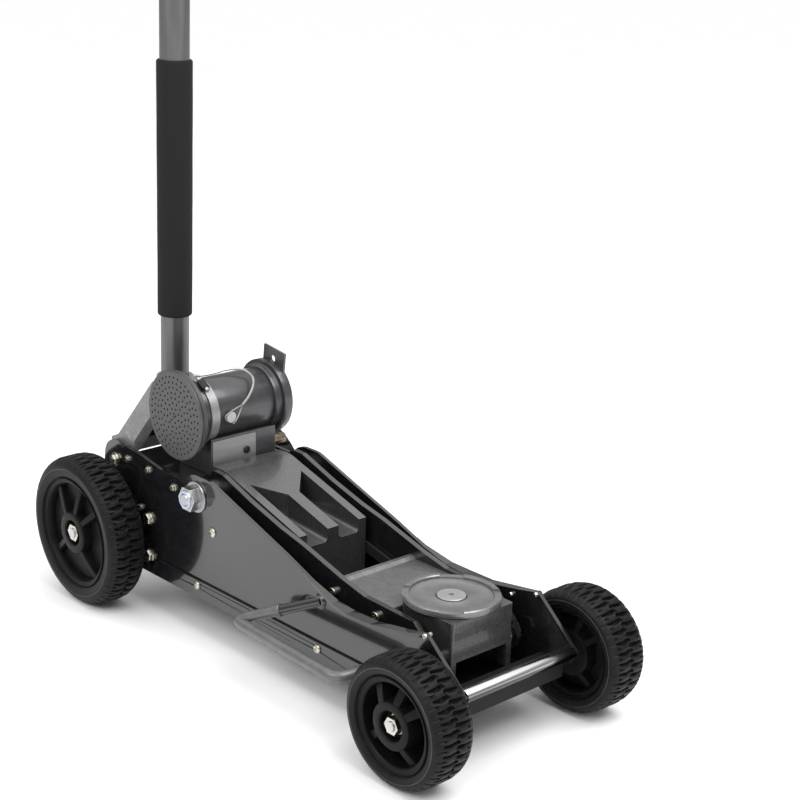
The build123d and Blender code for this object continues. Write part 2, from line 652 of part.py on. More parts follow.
def parts():
    hex_bolts = frame_hex_bolts()
    buttons = button_bolts()
    plates = mirrored_pair("side_plate", side_plate() - hex_bolts - buttons)
    model = {
        **plates,
        "skid_plate": skid_plate() - buttons,
        "front_axle_beam": front_axle_beam(),
        "front_tie_rod": front_tie_rod(),
        "top_bracket": top_bracket() - hex_bolts,
        "rear_axle": axle((0, REAR_TYRE_R), REAR_AXLE_R, 8.0),
        "front_axle": axle((WHEELBASE, FRONT_TYRE_R), FRONT_AXLE_R, 7.0),
        "axle_nuts": axle_nuts(),
        "wheel_bushes": wheel_bushes(),
        "main_shaft": main_shaft(),
        "main_shaft_nuts": main_shaft_nuts(),
        "main_shaft_spacers": main_shaft_spacers(),
        "frame_hex_bolts": hex_bolts,
        "button_bolts": buttons,
        "yoke_pivot_bolts": yoke_pivot_bolts(),
        "power_block": power_block() - hex_bolts,
        "reservoir": reservoir(),
        "ram_cylinder": ram_cylinder(),
        "ram_cover": ram_cover(),
        "rod_anchor_pins": rod_anchor_pins(),
        "motor_base": motor_base(),
        "motor_cylinder": motor_cylinder(),
        "motor_intake_cap": motor_intake_cap(),
        "motor_end_flange": motor_end_flange(),
        "motor_clamp_band": motor_clamp_band(),
        "air_fittings": air_fittings(),
        "lanyard": lanyard(),
        "carry_handles": carry_handles(),
        "carry_sleeves": carry_sleeves(),
        "return_springs": return_springs(),
        "motor_piston": motor_piston(),
        "ram_piston": ram_piston(),
        "ram_crosshead": ram_crosshead(),
        "pump_piston": pump_piston(),
        "release_valve": release_valve(),
        **mirrored_pair("arm_plate", arm_plate()),
        "arm_bushes": arm_bushes(),
        "arm_deck": arm_deck(),
        "arm_deck_bolts": arm_deck_bolts(),
        "saddle_pin": saddle_pin(),
        "pull_links": pull_links(),
        "levelling_rods": levelling_rods(),
        "saddle_block": saddle_block(),
        "saddle": saddle(),
        "saddle_cap": saddle_cap(),
        "handle_yoke": handle_yoke(),
        "pump_roller": pump_roller(),
        "handle_tube": handle_tube(),
        "handle_sleeve": handle_sleeve(),
        "handle_grip": handle_grip(),
        **mirrored_pair("rear_rim", wheel_rim(True)),
        **mirrored_pair("rear_tyre", tyre(True)),
        **mirrored_pair("front_rim", wheel_rim(False)),
        **mirrored_pair("front_tyre", tyre(False)),
    }
    return model


os.makedirs("parts", exist_ok=True)
for name, shape in parts().items():
    export_step(shape, f"parts/{name}.step")
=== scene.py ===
from math import cos, pi, radians, sin, sqrt, tau

import bmesh
import bpy
import numpy as np
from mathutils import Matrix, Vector


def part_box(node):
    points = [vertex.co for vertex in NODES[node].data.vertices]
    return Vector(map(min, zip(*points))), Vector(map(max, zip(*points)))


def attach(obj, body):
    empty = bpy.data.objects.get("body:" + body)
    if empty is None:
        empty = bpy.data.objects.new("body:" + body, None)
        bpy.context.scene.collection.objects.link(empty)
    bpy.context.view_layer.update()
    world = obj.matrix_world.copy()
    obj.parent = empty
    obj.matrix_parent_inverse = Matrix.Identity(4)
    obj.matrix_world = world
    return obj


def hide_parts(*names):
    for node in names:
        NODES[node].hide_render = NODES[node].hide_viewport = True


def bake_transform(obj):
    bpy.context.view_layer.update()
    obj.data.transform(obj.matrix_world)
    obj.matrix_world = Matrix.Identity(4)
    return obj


# Looks for the trolley jack. Lengths are millimetres in a side view, x ahead of the rear
# axle, y across and z above the ground, until Shape.build() puts them in the row frame.

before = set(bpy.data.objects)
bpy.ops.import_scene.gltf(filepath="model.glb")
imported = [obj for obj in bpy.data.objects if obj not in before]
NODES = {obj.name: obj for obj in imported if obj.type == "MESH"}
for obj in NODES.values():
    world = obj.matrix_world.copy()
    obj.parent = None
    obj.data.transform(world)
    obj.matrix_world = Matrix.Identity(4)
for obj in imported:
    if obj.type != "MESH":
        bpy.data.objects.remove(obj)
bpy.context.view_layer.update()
MM = 0.001


def node_box(name):
    """A CAD node's box in side-view millimetres: (lowest, highest)."""
    lo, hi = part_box(name)
    return (lo - ORIGIN) / MM, (hi - ORIGIN) / MM


def node_middle(name):
    lo, hi = node_box(name)
    return (lo + hi) / 2


_axle_lo, _axle_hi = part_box("rear_axle")
ORIGIN = Vector(((_axle_lo.x + _axle_hi.x) / 2, 0, 0))


# ---- materials ----
def node_of(tree, kind, **values):
    node = tree.nodes.new(kind)
    for key, value in values.items():
        if key in node.inputs:
            node.inputs[key].default_value = value
        else:
            setattr(node, key, value)
    return node


def finish(name, color, rough, metal=0.0, coat=0.0, specular=0.5, mottle=0.12, mottle_size=60,
           stretch=(1, 1, 1), dents=None, grain=None, wear=0.0, wear_color=(0.5, 0.5, 0.5),
           flecks=0.0, coat_rough=0.05, painted_shade=1.0):
    """A procedural finish. dents = (size per metre, depth mm) gives hammered cells, grain =
    (size per metre, depth mm) a fine texture, wear lightens worn edges."""
    m = bpy.data.materials.new(name)
    m.use_nodes = True
    tree = m.node_tree
    link = tree.links.new
    b = tree.nodes["Principled BSDF"]
    b.inputs["Metallic"].default_value = metal
    b.inputs["Specular IOR Level"].default_value = specular
    b.inputs["Coat Weight"].default_value = coat
    b.inputs["Coat Roughness"].default_value = coat_rough
    place = node_of(tree, "ShaderNodeTexCoord")
    scale = node_of(tree, "ShaderNodeMapping", Scale=stretch)
    link(place.outputs["Object"], scale.inputs["Vector"])
    clouds = node_of(tree, "ShaderNodeTexNoise", Scale=mottle_size, Detail=5.0, Roughness=0.6)
    link(scale.outputs["Vector"], clouds.inputs["Vector"])
    shade = node_of(tree, "ShaderNodeMapRange")
    shade.inputs["From Min"].default_value, shade.inputs["From Max"].default_value = 0.3, 0.7
    shade.inputs["To Min"].default_value = 1 - mottle
    shade.inputs["To Max"].default_value = 1 + mottle
    link(clouds.outputs["Fac"], shade.inputs["Value"])
    tint = node_of(tree, "ShaderNodeVectorMath", operation="SCALE")
    tint.inputs[0].default_value = color
    link(shade.outputs["Result"], tint.inputs["Scale"])
    colour = tint.outputs["Vector"]
    gloss = node_of(tree, "ShaderNodeMapRange")
    gloss.inputs["To Min"].default_value = rough * 0.8
    gloss.inputs["To Max"].default_value = min(1.0, rough * 1.2)
    link(clouds.outputs["Fac"], gloss.inputs["Value"])
    link(gloss.outputs["Result"], b.inputs["Roughness"])
    height = None
    if dents:
        cells = node_of(tree, "ShaderNodeTexVoronoi", feature="SMOOTH_F1", Scale=dents[0])
        cells.inputs["Smoothness"].default_value = 0.6
        link(place.outputs["Object"], cells.inputs["Vector"])
        height = node_of(tree, "ShaderNodeBump", Strength=0.9, Distance=dents[1] * MM)
        link(cells.outputs["Distance"], height.inputs["Height"])
        if flecks:
            spot = node_of(tree, "ShaderNodeMapRange")
            spot.inputs["From Min"].default_value, spot.inputs["From Max"].default_value = 0.1, 0.7
            spot.inputs["To Min"].default_value = 1 + flecks
            spot.inputs["To Max"].default_value = 1 - flecks
            link(cells.outputs["Distance"], spot.inputs["Value"])
            fleck = node_of(tree, "ShaderNodeVectorMath", operation="SCALE")
            link(colour, fleck.inputs[0])
            link(spot.outputs["Result"], fleck.inputs["Scale"])
            colour = fleck.outputs["Vector"]
    if grain:
        fine = node_of(tree, "ShaderNodeTexNoise", Scale=grain[0], Detail=3.0)
        link(scale.outputs["Vector"], fine.inputs["Vector"])
        bump = node_of(tree, "ShaderNodeBump", Strength=0.8, Distance=grain[1] * MM)
        link(fine.outputs["Fac"], bump.inputs["Height"])
        if height:
            link(height.outputs["Normal"], bump.inputs["Normal"])
        height = bump
    if height:
        link(height.outputs["Normal"], b.inputs["Normal"])
    if wear:
        edge = node_of(tree, "ShaderNodeNewGeometry")
        sharp = node_of(tree, "ShaderNodeMapRange")
        sharp.inputs["From Min"].default_value, sharp.inputs["From Max"].default_value = 0.52, 0.62
        sharp.inputs["To Max"].default_value = wear
        link(edge.outputs["Pointiness"], sharp.inputs["Value"])
        patchy = node_of(tree, "ShaderNodeMath", operation="MULTIPLY")
        link(sharp.outputs["Result"], patchy.inputs[0])
        link(clouds.outputs["Fac"], patchy.inputs[1])
        mix = node_of(tree, "ShaderNodeMixRGB", Color2=(*wear_color, 1))
        link(patchy.outputs["Value"], mix.inputs["Fac"])
        link(colour, mix.inputs["Color1"])
        colour = mix.outputs["Color"]
    # Painted shade: the base colour darkens on faces that turn sideways or downwards, as shade would
    # fall on them; faces turned up keep their colour.
    if painted_shade < 1:
        facing = node_of(tree, "ShaderNodeNewGeometry")
        split = node_of(tree, "ShaderNodeSeparateXYZ")
        link(facing.outputs["Normal"], split.inputs["Vector"])
        dim = node_of(tree, "ShaderNodeMapRange")
        dim.inputs["From Min"].default_value, dim.inputs["From Max"].default_value = 0.05, 0.5
        dim.inputs["To Min"].default_value = painted_shade
        link(split.outputs["Z"], dim.inputs["Value"])
        dark = node_of(tree, "ShaderNodeVectorMath", operation="SCALE")
        link(colour, dark.inputs[0])
        link(dim.outputs["Result"], dark.inputs["Scale"])
        colour = dark.outputs["Vector"]
    link(colour, b.inputs["Base Color"])
    return m


FINISH = {
    "gloss_black": finish("gloss_black", (0.008, 0.008, 0.009), 0.16, coat=0.75, specular=0.4,
                          mottle=0.3, grain=(500, 0.02), wear=0.25, coat_rough=0.04,
                          wear_color=(0.08, 0.08, 0.08)),
    "hammered_grey": finish("hammered_grey", (0.155, 0.155, 0.158), 0.30, metal=0.6, coat=0.3,
                            mottle=0.12, dents=(300, 0.16), flecks=0.12, wear=0.35,
                            wear_color=(0.42, 0.42, 0.43)),
    # cover: faces turned sideways or down, such as the slot walls and front face, get painted shade,
    # darkened to 0.6
    "cover_grey": finish("cover_grey", (0.115, 0.115, 0.118), 0.27, metal=0.6, coat=0.3,
                         mottle=0.06, dents=(280, 0.10), flecks=0.06, wear=0.2,
                         wear_color=(0.34, 0.34, 0.35), painted_shade=0.6),
    "motor_grey": finish("motor_grey", (0.066, 0.064, 0.068), 0.35, metal=0.6, coat=0.25,
                         mottle=0.12, grain=(700, 0.03), wear=0.4, wear_color=(0.25, 0.25, 0.26)),
    "yoke_grey": finish("yoke_grey", (0.25, 0.25, 0.255), 0.42, metal=0.5, dents=(330, 0.16),
                        flecks=0.15, mottle=0.1, wear=0.3, wear_color=(0.5, 0.5, 0.51)),
    "handle_gunmetal": finish("handle_gunmetal", (0.145, 0.142, 0.146), 0.42, metal=0.7,
                              mottle=0.2, mottle_size=90, stretch=(1, 1, 0.06),
                              grain=(420, 0.02)),
    "zinc": finish("zinc", (0.55, 0.52, 0.45), 0.28, metal=1.0, mottle=0.25, mottle_size=180,
                   grain=(900, 0.03)),
    "steel": finish("steel", (0.50, 0.50, 0.51), 0.32, metal=1.0, mottle=0.15,
                    grain=(800, 0.03)),
    # chrome: faces turned sideways or down on the bars get painted shade, darkened to 0.12, so the
    # lower half reads dark
    "chrome": finish("chrome", (0.66, 0.67, 0.68), 0.16, metal=1.0, mottle=0.05,
                     stretch=(1, 0.08, 1), grain=(500, 0.01), painted_shade=0.12),
    "brass": finish("brass", (0.22, 0.18, 0.13), 0.38, metal=0.9, mottle=0.35,
                    mottle_size=140, grain=(700, 0.05)),
    "foam": finish("foam", (0.010, 0.010, 0.011), 0.80, specular=0.25, mottle=0.3,
                   mottle_size=400, grain=(1500, 0.35)),
    "tyre": finish("tyre", (0.0085, 0.0085, 0.0085), 0.46, specular=0.14, mottle=0.35,
                   mottle_size=45, grain=(900, 0.10), wear=0.3, wear_color=(0.035, 0.035, 0.035)),
    "tyre_line": finish("tyre_line", (0.05, 0.05, 0.05), 0.5, specular=0.3, mottle=0.4,
                        mottle_size=70, grain=(900, 0.10)),
    "wheel_plastic": finish("wheel_plastic", (0.0064, 0.0064, 0.0066), 0.40, specular=0.11,
                            mottle=0.2, grain=(1100, 0.05), wear=0.25,
                            wear_color=(0.04, 0.04, 0.04)),
    "sleeve_plastic": finish("sleeve_plastic", (0.13, 0.13, 0.132), 0.36, metal=0.35,
                             mottle=0.15, grain=(600, 0.04)),
    "cap_grey": finish("cap_grey", (0.080, 0.078, 0.080), 0.42, metal=0.4, mottle=0.08,
                       dents=(420, 0.08), flecks=0.06),
    "saddle_grey": finish("saddle_grey", (0.19, 0.19, 0.192), 0.34, metal=0.55, coat=0.2,
                          mottle=0.1, dents=(330, 0.08), flecks=0.08, wear=0.35,
                          wear_color=(0.45, 0.45, 0.46)),
    "button_grey": finish("button_grey", (0.34, 0.34, 0.345), 0.36, metal=0.5, mottle=0.08,
                          grain=(500, 0.03)),
    "band_steel": finish("band_steel", (0.33, 0.33, 0.335), 0.42, metal=0.7, mottle=0.12,
                         stretch=(1, 0.2, 1), grain=(500, 0.02)),
    "wire_steel": finish("wire_steel", (0.40, 0.40, 0.39), 0.32, metal=0.8, mottle=0.2),
    "nylon": finish("nylon", (0.42, 0.52, 0.66), 0.45, mottle=0.12, grain=(900, 0.03)),
    "dark_panel": finish("dark_panel", (0.008, 0.008, 0.008), 0.35, mottle=0.3,
                         grain=(700, 0.05)),
    "beam_black": finish("beam_black", (0.010, 0.010, 0.010), 0.5, specular=0.15, mottle=0.15,
                         grain=(500, 0.05)),
    "dark_grey": finish("dark_grey", (0.022, 0.022, 0.023), 0.42, metal=0.2, mottle=0.2,
                        specular=0.3, grain=(500, 0.06)),
}


# ---- mesh tool-kit ----
class Shape:
    """Closed shells in side-view millimetres, gathered into one piece."""

    def __init__(self):
        self.verts, self.faces = [], []

    def add(self, verts, faces):
        base = len(self.verts)
        self.verts += [tuple(v) for v in verts]
        self.faces += [tuple(base + i for i in f) for f in faces]
        return self

    def skin(self, rings, loop=False):
        """Joins equal rings of points into a tube, closed on itself or capped."""
        n, k = len(rings[0]), len(rings)
        verts = [p for ring in rings for p in ring]
        faces = []
        for i in range(k if loop else k - 1):
            a, b = i * n, (i + 1) % k * n
            faces += [(a + j, a + (j + 1) % n, b + (j + 1) % n, b + j) for j in range(n)]
        if not loop:
            faces += [tuple(range(n))[::-1], tuple((k - 1) * n + j for j in range(n))]
        return self.add(verts, faces)

    def lathe(self, profile, point, segments=64, loop=False):
        """Turns (radius, y) points about the Y axis through a side-view point."""
        x, z = point
        turn = [tau * i / segments for i in range(segments)]
        rings = [[(x + r * cos(t), y, z + r * sin(t)) for t in turn] for r, y in profile]
        return self.skin(rings, loop)

    def upright(self, profile, point, segments=64, loop=False):
        """Turns (radius, z) points about a vertical axis through (x, y)."""
        x, y = point
        turn = [tau * i / segments for i in range(segments)]
        rings = [[(x + r * cos(t), y + r * sin(t), z) for t in turn] for r, z in profile]
        return self.skin(rings, loop)

    def prism(self, points, y0, y1):
        """A side-view outline between two depths."""
        return self.skin([[(x, y, z) for x, z in points] for y in (y0, y1)])

    def hexagon(self, point, flats, y0, y1, turn=0.0):
        """A hexagonal bar along Y whose y0 end is chamfered."""
        x, z = point
        r = flats / sqrt(3)
        side = 1 if y1 > y0 else -1

        def ring(radius, y):
            angles = [turn + tau * i / 6 for i in range(6)]
            return [(x + radius * cos(a), y, z + radius * sin(a)) for a in angles]

        return self.skin([ring(r * 0.88, y0), ring(r, y0 + side * flats * 0.09), ring(r, y1)])

    def box(self, x0, x1, y0, y1, z0, z1):
        return self.prism([(x0, z0), (x1, z0), (x1, z1), (x0, z1)], y0, y1)

    def tube(self, path, radius, segments=12, loop=False):
        """A round bar along 3-D points; radius is one number or one for each point."""
        points = [Vector(p) for p in path]
        radii = radius if isinstance(radius, list) else [radius] * len(points)
        rings, side = [], None
        for i, p in enumerate(points):
            ahead = points[(i + 1) % len(points)] if loop or i + 1 < len(points) else p
            back = points[i - 1] if loop or i else p
            run = (ahead - back).normalized()
            if side is None:
                side = run.orthogonal().normalized()
            side = (side - run * side.dot(run)).normalized()
            up = run.cross(side)
            rings.append([p + (side * cos(a) + up * sin(a)) * radii[i]
                          for a in (tau * j / segments for j in range(segments))])
        return self.skin(rings, loop)

    def mirrored(self):
        """Adds the same shells on the far side."""
        verts = [(x, -y, z) for x, y, z in self.verts]
        faces = [f[::-1] for f in self.faces]
        return self.add(verts, faces)

    def build(self, name, kind, bevel=0.0, angle=35, segments=2):
        """Makes the mesh object, in metres in the row frame."""
        mesh = bpy.data.meshes.new(name)
        mesh.from_pydata([tuple(Vector(v) * MM + ORIGIN) for v in self.verts], [], self.faces)
        bm = bmesh.new()
        bm.from_mesh(mesh)
        bmesh.ops.recalc_face_normals(bm, faces=bm.faces)
        bm.to_mesh(mesh)
        bm.free()
        mesh.shade_smooth()
        mesh.set_sharp_from_angle(angle=radians(angle))
        mesh.materials.append(FINISH[kind])
        o = bpy.data.objects.new(name, mesh)
        bpy.context.scene.collection.objects.link(o)
        if bevel:
            round_edges(o, bevel, segments)
        return o


def round_edges(o, width, segments=2, angle=32):
    mod = o.modifiers.new("edges", "BEVEL")
    mod.width = width * MM
    mod.segments = segments
    mod.limit_method = "ANGLE"
    mod.angle_limit = radians(angle)
    mod.harden_normals = True
    mod.use_clamp_overlap = True


def piece(shape, name, kind, body, slot, replaces=(), bevel=0.0, **more):
    """Builds a shape and fixes it to its body."""
    o = shape.build(name, kind, bevel, **more)
    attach(o, body)
    if replaces:
        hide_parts(*replaces)
    return o


def rounded_path(points, radius, steps=6):
    """A polyline whose inner corners are rounded, as 3-D points."""
    points = [Vector(p) for p in points]
    out = [points[0]]
    for before, corner, after in zip(points, points[1:], points[2:]):
        a, b = (before - corner), (after - corner)
        reach = min(radius, a.length * 0.45, b.length * 0.45)
        start, end = corner + a.normalized() * reach, corner + b.normalized() * reach
        for i in range(steps + 1):
            t = i / steps
            out.append(start * (1 - t) ** 2 + corner * 2 * t * (1 - t) + end * t * t)
    return out + [points[-1]]


def carve(o, cutter):
    """Cuts one mesh object out of another and keeps the result as plain mesh."""
    mod = o.modifiers.new("carve", "BOOLEAN")
    mod.operation = "DIFFERENCE"
    mod.solver = "EXACT"
    mod.object = cutter
    result = bpy.data.meshes.new_from_object(o.evaluated_get(bpy.context.evaluated_depsgraph_get()))
    o.modifiers.remove(mod)
    o.data = result
    result.set_sharp_from_angle(angle=radians(35))
    bpy.data.objects.remove(cutter)
    return o


# ---- finishes and rounded edges of the CAD nodes ----
LOOKS = {
    "gloss_black": ["side_plate_right", "side_plate_left", "skid_plate", "top_bracket",
                    "arm_plate_right", "arm_plate_left"],
    "hammered_grey": ["arm_deck"],
    "cover_grey": ["saddle_block", "ram_cover", "saddle"],
    "yoke_grey": ["handle_yoke"],
    "motor_grey": ["motor_base", "motor_cylinder", "motor_end_flange", "power_block",
                   "reservoir"],
    "handle_gunmetal": ["handle_tube"],
    "cap_grey": ["motor_intake_cap", "saddle_cap"],
    "zinc": ["frame_hex_bolts", "button_bolts", "arm_deck_bolts", "yoke_pivot_bolts",
             "axle_nuts", "saddle_pin"],
    "steel": ["rear_axle", "front_axle", "main_shaft", "main_shaft_nuts", "main_shaft_spacers",
              "rod_anchor_pins", "ram_cylinder", "ram_crosshead", "pull_links",
              "release_valve", "motor_piston", "pump_roller", "motor_clamp_band", "lanyard",
              "return_springs"],
    "dark_grey": ["levelling_rods"],
    "beam_black": ["front_axle_beam"],
    "chrome": ["front_tie_rod", "ram_piston", "pump_piston"],
    "brass": ["arm_bushes", "wheel_bushes", "air_fittings"],
    "foam": ["handle_sleeve", "handle_grip"],
    "sleeve_plastic": ["carry_handles", "carry_sleeves"],
    "wheel_plastic": ["rear_rim_right", "rear_rim_left", "front_rim_right", "front_rim_left"],
    "tyre": ["rear_tyre_right", "rear_tyre_left", "front_tyre_right", "front_tyre_left"],
}
ROUNDING = {"side_plate_right": 1.3, "side_plate_left": 1.3, "arm_plate_right": 1.4,
            "arm_plate_left": 1.4, "skid_plate": 1.0, "ram_cover": 2.2, "saddle_block": 1.4,
            "saddle": 1.0, "arm_deck": 0.8, "handle_yoke": 1.0, "motor_base": 1.2,
            "front_axle_beam": 1.5, "motor_end_flange": 0.9, "top_bracket": 1.0,
            "motor_cylinder": 0.6, "main_shaft_nuts": 0.7, "axle_nuts": 0.6,
            "yoke_pivot_bolts": 0.6, "saddle_pin": 0.6, "power_block": 1.0,
            "arm_deck_bolts": 0.5, "levelling_rods": 0.8, "pull_links": 0.8,
            "ram_crosshead": 0.8, "air_fittings": 0.5, "release_valve": 0.5,
            "saddle_cap": 0.5, "front_tie_rod": 0.5, "handle_tube": 0.5}

for kind, names in LOOKS.items():
    for name in names:
        o = NODES[name]
        o.data.materials.clear()
        o.data.materials.append(FINISH[kind])
        if name in ROUNDING:
            weld = o.modifiers.new("weld", "WELD")
            weld.merge_threshold = 0.02 * MM
            round_edges(o, ROUNDING[name])


# ---- wheels ----
def tyre_profile(radius, half, drop, shoulder, bead):
    """(radius, offset from the tyre's middle) from one bead round to the other."""
    side = []
    for i in range(7):
        t = i / 6
        side.append((bead + (radius - drop - bead) * t, half - 3.6 * (1 - t) ** 2))
    arc = []
    for i in range(1, 9):
        a = pi / 2 * i / 8
        arc.append((radius - drop + drop * sin(a), half - shoulder * (1 - cos(a))))
    return side, arc


def tread_depth(turn, across, flip):
    """How far below the tyre's envelope the tread lies, in mm. turn counts pitches."""
    s = np.abs(across)
    column = np.where(across * flip > 0, 0.0, 0.5)
    # wavy slits between chunky bars, in two staggered columns
    wave = 0.13 * np.sin(s / 8.5 + 0.5) + 0.12 * s / 17.0
    f = (turn + column + wave) % 1.0
    gap = np.minimum(f, 1.0 - f)
    spread = 0.16 + 0.05 * np.sin(s / 5.0)
    slit = np.clip((spread - gap) / 0.07, 0, 1)
    crown = (1.0 - np.clip(gap, 0, 0.5) / 0.5) ** 2 * 2.2
    inside = np.clip((25.5 - s) / 3.0, 0, 1)
    depth = inside * (5.0 * slit + crown)
    # triangular pockets where the columns meet
    g = (turn + 0.25) % 0.5 * 2
    pocket = np.clip(1.0 - s / (6.0 * np.clip(0.75 - g, 0.001, 1.0)), 0, 1)
    depth = np.maximum(depth, 4.2 * np.clip(pocket * 3.0, 0, 1))
    # small notches beside the smooth shoulder, two to a pitch
    n = (turn * 2 + 0.3) % 1.0
    notch = np.clip((0.26 - np.minimum(n, 1 - n)) / 0.10, 0, 1)
    side = np.clip(1.0 - np.abs(s - 21.0) / 3.4, 0, 1)
    depth = np.maximum(depth, np.clip(side * 2.0, 0, 1) * 3.8 * notch)
    # shallow scallops over the shoulder
    h = (turn + 0.12) % 1.0
    bar = np.clip((0.15 - np.minimum(h, 1 - h)) / 0.08, 0, 1)
    over = np.clip((s - 24.0) / 2.0, 0, 1) * np.clip((33.5 - s) / 3.0, 0, 1)
    return np.maximum(depth, 2.0 * bar * over)


LINE_SHARE = 0.856           # moulding line on each sidewall, a share of the tyre's radius


def tyre(name, node, body, bead_share, pitches, flip):
    lo, hi = node_box(node)
    middle = (lo + hi) / 2
    radius, half = (hi.z - lo.z) / 2, (hi.y - lo.y) / 2
    bead, drop, shoulder = radius * bead_share, radius * 0.14, 22.0
    side, arc = tyre_profile(radius, half, drop, shoulder, bead)
    flat = [(radius, w) for w in np.linspace(half - shoulder, shoulder - half, 20)[1:-1]]
    outer = arc + flat + [(r, -w) for r, w in reversed(arc)]
    inner = [(bead, half - 0.5), (bead - 1.0, half - 3.0)]
    profile = inner[::-1] + side[:] + outer + [(r, -w) for r, w in reversed(side)]
    profile += [(r, -w) for r, w in inner]
    r0 = np.array([p[0] for p in profile])
    w0 = np.array([p[1] for p in profile])
    per_pitch = 14
    count = pitches * per_pitch
    turn = np.arange(count) / per_pitch
    depth = tread_depth(turn[:, None], w0[None, :], flip)
    tread = (r0 > radius - drop * 0.98)[None, :]
    depth = np.where(tread, depth, 0.0)
    # the grooves sink at right angles to the rounded shoulder
    slope = np.clip((np.abs(w0) - (half - shoulder)) / shoulder, 0, 1) ** 2
    r = r0[None, :] - depth * (1 - 0.55 * slope)[None, :]
    w = w0[None, :] - np.sign(w0)[None, :] * depth * (0.75 * slope)[None, :]
    angle = turn / pitches * tau
    x = middle.x + r * np.cos(angle)[:, None]
    z = middle.z + r * np.sin(angle)[:, None]
    y = middle.y + w
    rings = np.stack([x, y, z], axis=-1)
    shape = Shape()
    n = len(profile)
    verts = rings.reshape(-1, 3).tolist()
    faces = []
    for i in range(count):
        a, b = i * n, (i + 1) % count * n
        faces += [(a + j, a + (j + 1) % n, b + (j + 1) % n, b + j) for j in range(n)]
    shape.add(verts, faces)
    line = Shape()
    for sign in (1, -1):
        y0, at = middle.y + sign * half, radius * LINE_SHARE
        line.lathe([(at - 0.8, y0 - sign), (at - 0.5, y0 + sign * 0.35),
                    (at + 0.5, y0 + sign * 0.35), (at + 0.8, y0 - sign)],
                   (middle.x, middle.z), 160, loop=True)
    piece(line, name.replace("tread", "sidewall_line"), "tyre_line", body, "tyre")
    return piece(shape, name, "tyre", body, "tyre", [node], angle=30)


def rim(name, node, body, opening_share, hub_share, deep_web, near):
    """Moulded wheel: dished ring, sloping ribs, proud hub with a recessed nut seat."""
    lo, hi = node_box(node)
    middle = (lo + hi) / 2
    bead = (hi.z - lo.z) / 2
    out = -1 if near else 1
    radius = bead / 0.74
    opening, hub = radius * opening_share, radius * hub_share
    half = (hi.y - lo.y) / 2

    def at(depth):
        """y at a depth in from the outer rim face."""
        return middle.y + out * (half - depth)

    width = half * 2
    web = 34.0 if deep_web else 15.0
    rib, sink = (5.6, 10.0) if deep_web else (4.6, 9.0)
    point = (middle.x, middle.z)
    shape = Shape()
    # dished ring with a stepped lip, both faces
    shape.lathe([(opening, at(2.6)), (opening + 1.8, at(0.6)), (bead - 3.2, at(0.0)),
                 (bead - 2.7, at(-0.7)), (bead - 1.2, at(-0.7)), (bead, at(0.3)),
                 (bead, at(width - 0.6)), (bead - 0.8, at(width)), (bead - 4, at(width)),
                 (bead - 4.6, at(width - 1)), (opening + 2, at(width - 1)),
                 (opening + 0.4, at(width - 3)), (opening - 2.5, at(web + 6)),
                 (opening - 3.0, at(web))], point, 96, loop=True)
    # web between ring and hub
    shape.lathe([(hub - 3, at(web - 1)), (opening - 1, at(web)), (opening - 1, at(web + 5)),
                 (hub - 3, at(web + 6))], point, 96, loop=True)
    # hub with a recess round the nut
    bore, recess = 15.0 if deep_web else 18.0, 21.0
    shape.lathe([(bore, at(12)), (recess - 1.5, at(12)), (recess, at(10.5)), (recess, at(-1.0)),
                 (recess + 1.4, at(-3.2)), (hub - 2.4, at(-3.6)), (hub - 0.6, at(-2.6)),
                 (hub, at(0.0)), (hub + 1.8, at(web)), (hub + 1.8, at(web + 6)),
                 (hub, at(width - 1)), (hub - 2, at(width)), (bore, at(width))],
                point, 64, loop=True)
    for turn in SPOKE_TURNS:
        a = radians(turn)
        run, cross = Vector((cos(a), 0, sin(a))), Vector((-sin(a), 0, cos(a)))
        c = Vector((middle.x, 0, middle.z))
        start, end = hub - 2, opening + 1.5
        rings = []
        steps = 5
        for i in range(steps + 1):
            t = i / steps
            d = start + (end - start) * t
            top = at(-2.2 + sink * t ** 1.2)
            wide = rib + 1.2 * t
            low = at(web + 2)
            p = c + run * d
            section = [(-wide - 1.6, low), (-wide, top + -out * 1.4), (-wide + 1.4, top),
                       (wide - 1.4, top), (wide, top + -out * 1.4), (wide + 1.6, low)]
            rings.append([p + cross * u + Vector((0, y, 0)) for u, y in section])
        shape.skin(rings)
        rings = []
        for i in range(steps + 1):
            t = i / steps
            d = start + (end - start) * t
            low, top = at(web + 3), at(width - 3 - 9 * t)
            p = c + run * d
            section = [(-5.8, low), (-4.2, top), (4.2, top), (5.8, low)]
            rings.append([p + cross * u + Vector((0, y, 0)) for u, y in section])
        shape.skin(rings)
    return piece(shape, name, "wheel_plastic", body, "wheel_plastic", [node], bevel=0.5, angle=40)


SPOKE_TURNS = (40, 78, 127, 218, 307)
for end, pitches, opening_share, hub_share in [("rear", 46, 0.66, 0.28), ("front", 38, 0.63, 0.37)]:
    for side in ("right", "left"):
        body = f"{end}_wheel_{side}"
        tyre(f"{end}_tread_{side}", f"{end}_tyre_{side}", body, 0.735, pitches,
             1 if side == "right" else -1)
        rim(f"{end}_wheel_disc_{side}", f"{end}_rim_{side}", body, opening_share, hub_share,
            end == "front", side == "right")


# ---- bolts and nuts ----
PLATE_FACE = -112.7


def socket_screw(shape, cutter, point, y, r, height, flats):
    """Cap screw on a face at y, looking towards -Y, with a hexagon socket."""
    shape.lathe([(r * 1.35, y), (r * 1.35, y - 0.8), (r * 1.25, y - 1.0), (r, y - 1.0),
                 (r, y - height + 0.6), (r - 0.6, y - height)], point, 28)
    cutter.hexagon(point, flats, y - height * 0.4, y - height - 2)


def hex_head(shape, point, y, flats, height, washer):
    shape.lathe([(washer, y), (washer, y - 1.3), (washer - 0.5, y - 1.8), (flats * 0.3, y - 1.8)],
                point, 32)
    shape.hexagon(point, flats, y - height, y - 1.5, turn=0.35)
    shape.lathe([(flats * 0.36, y - height + 0.4), (flats * 0.33, y - height - 0.3)], point, 24)


